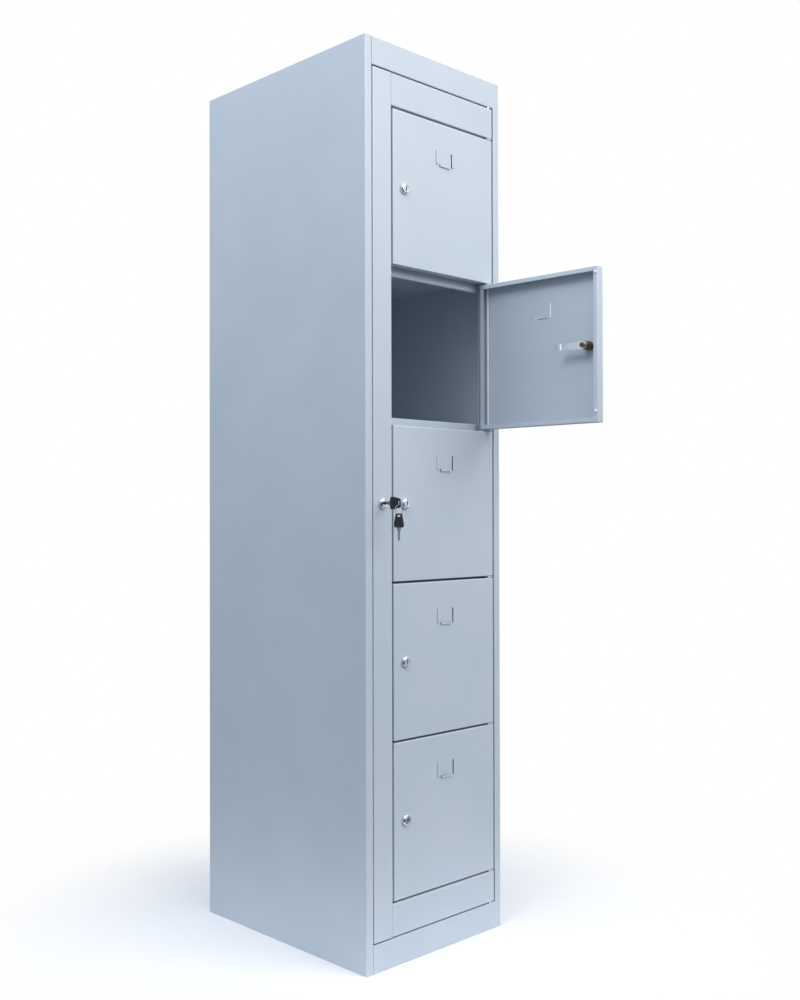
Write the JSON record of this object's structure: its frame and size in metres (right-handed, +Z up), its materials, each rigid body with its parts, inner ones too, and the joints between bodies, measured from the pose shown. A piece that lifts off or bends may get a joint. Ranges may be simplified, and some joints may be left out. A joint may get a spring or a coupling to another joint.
{
  "type": "distribution locker",
  "caption": "Tall steel locker column with stacked compartments, each behind a small keyed door, all carried on one keyed master door frame.",
  "frame": {"origin": "middle of the cabinet's footprint, on the floor", "axes": "+X to the right seen from the front, +Y from the doors to the back, +Z up"},
  "size_m": [0.39, 0.7914, 1.8],
  "materials": {
    "powder_coated_steel": "light grey-blue powder coat, fine orange peel, satin",
    "zinc_plated_steel": "bright zinc plate",
    "nickel_steel": "nickel plate, drawn",
    "chromed_zinc": "bright chrome on die-cast zinc",
    "yellow_zinc": "yellow passivated, dull",
    "black_abs": "moulded, fine texture",
    "white_pvc": "soft moulded button"
  },
  "bodies": {
    "cabinet": {"side_panel_left": "powder_coated_steel", "side_panel_right": "powder_coated_steel", "front_stiles": "powder_coated_steel", "back_panel": "powder_coated_steel", "roof_panel": "powder_coated_steel", "base_pan": "powder_coated_steel", "shelf_1": "powder_coated_steel", "shelf_2": "powder_coated_steel", "shelf_3": "powder_coated_steel", "shelf_4": "powder_coated_steel", "master_pivot_pins": "zinc_plated_steel"},
    "master_door": {"master_lock_stile": "powder_coated_steel", "master_hinge_stile": "powder_coated_steel", "master_top_rail": "powder_coated_steel", "master_bottom_rail": "powder_coated_steel", "door_pivot_lugs": "powder_coated_steel", "master_lock_body": "chromed_zinc", "master_lock_nut": "yellow_zinc"},
    "door_1": {"door_1_tray": "powder_coated_steel", "door_1_hinge_rod": "zinc_plated_steel", "door_1_lock_body": "chromed_zinc", "door_1_lock_nut": "yellow_zinc", "door_1_buffers": "white_pvc"},
    "door_2": {"door_2_tray": "powder_coated_steel", "door_2_hinge_rod": "zinc_plated_steel", "door_2_lock_body": "chromed_zinc", "door_2_lock_nut": "yellow_zinc", "door_2_buffers": "white_pvc"},
    "door_3": {"door_3_tray": "powder_coated_steel", "door_3_hinge_rod": "zinc_plated_steel", "door_3_lock_body": "chromed_zinc", "door_3_lock_nut": "yellow_zinc", "door_3_buffers": "white_pvc"},
    "door_4": {"door_4_tray": "powder_coated_steel", "door_4_hinge_rod": "zinc_plated_steel", "door_4_lock_body": "chromed_zinc", "door_4_lock_nut": "yellow_zinc", "door_4_buffers": "white_pvc"},
    "door_5": {"door_5_tray": "powder_coated_steel", "door_5_hinge_rod": "zinc_plated_steel", "door_5_lock_body": "chromed_zinc", "door_5_lock_nut": "yellow_zinc", "door_5_buffers": "white_pvc"},
    "lock_1": {"lock_1_plug": "chromed_zinc", "lock_1_cam": "zinc_plated_steel"},
    "lock_2": {"lock_2_plug": "chromed_zinc", "lock_2_cam": "zinc_plated_steel"},
    "lock_3": {"lock_3_plug": "chromed_zinc", "lock_3_cam": "zinc_plated_steel"},
    "lock_4": {"lock_4_plug": "chromed_zinc", "lock_4_cam": "zinc_plated_steel"},
    "lock_5": {"lock_5_plug": "chromed_zinc", "lock_5_cam": "zinc_plated_steel"},
    "master_lock": {"master_lock_plug": "chromed_zinc", "master_lock_cam": "zinc_plated_steel", "master_key_blade": "nickel_steel", "master_key_bow": "black_abs"},
    "ring": {"key_ring": "nickel_steel"},
    "spare_key": {"spare_key_blade": "nickel_steel", "spare_key_bow": "black_abs"}
  },
  "joints": [
    {"name": "master_door_hinge", "type": "hinge", "parent": "cabinet", "child": "master_door", "pos_m": [0.164, -0.251, 0.9], "axis": [0, 0, -1], "range_deg": [-48, 0]},
    {"name": "door_1_hinge", "type": "hinge", "parent": "master_door", "child": "door_1", "pos_m": [0.164, -0.251, 1.5215], "axis": [0, 0, 1], "range_deg": [0, 110]},
    {"name": "door_2_hinge", "type": "hinge", "parent": "master_door", "child": "door_2", "pos_m": [0.164, -0.251, 1.211], "axis": [0, 0, 1], "range_deg": [-92.5, 17.5]},
    {"name": "door_3_hinge", "type": "hinge", "parent": "master_door", "child": "door_3", "pos_m": [0.164, -0.251, 0.9005], "axis": [0, 0, 1], "range_deg": [0, 110]},
    {"name": "door_4_hinge", "type": "hinge", "parent": "master_door", "child": "door_4", "pos_m": [0.164, -0.251, 0.59], "axis": [0, 0, 1], "range_deg": [0, 110]},
    {"name": "door_5_hinge", "type": "hinge", "parent": "master_door", "child": "door_5", "pos_m": [0.164, -0.251, 0.2795], "axis": [0, 0, 1], "range_deg": [0, 110]},
    {"name": "lock_1_turn", "type": "hinge", "parent": "door_1", "child": "lock_1", "pos_m": [-0.09, -0.255, 1.5215], "axis": [0, 1, 0], "range_deg": [0, 180]},
    {"name": "lock_2_turn", "type": "hinge", "parent": "door_2", "child": "lock_2", "pos_m": [0.17908, -0.50458, 1.211], "axis": [-0.999, -0.0436, 0], "range_deg": [0, 180]},
    {"name": "lock_3_turn", "type": "hinge", "parent": "door_3", "child": "lock_3", "pos_m": [-0.09, -0.255, 0.9005], "axis": [0, 1, 0], "range_deg": [0, 180]},
    {"name": "lock_4_turn", "type": "hinge", "parent": "door_4", "child": "lock_4", "pos_m": [-0.09, -0.255, 0.59], "axis": [0, 1, 0], "range_deg": [0, 180]},
    {"name": "lock_5_turn", "type": "hinge", "parent": "door_5", "child": "lock_5", "pos_m": [-0.09, -0.255, 0.2795], "axis": [0, 1, 0], "range_deg": [0, 180]},
    {"name": "master_lock_turn", "type": "hinge", "parent": "master_door", "child": "master_lock", "pos_m": [-0.15, -0.255, 0.9005], "axis": [0, 1, 0], "range_deg": [0, 90]},
    {"name": "ring_swing", "type": "hinge", "parent": "master_lock", "child": "ring", "pos_m": [-0.15, -0.299, 0.89415], "axis": [0, -1, 0], "range_deg": [-30, 90]},
    {"name": "spare_key_swing", "type": "hinge", "parent": "ring", "child": "spare_key", "pos_m": [-0.15, -0.299, 0.8777], "axis": [1, 0, 0], "range_deg": [-60, 50]}
  ]
}
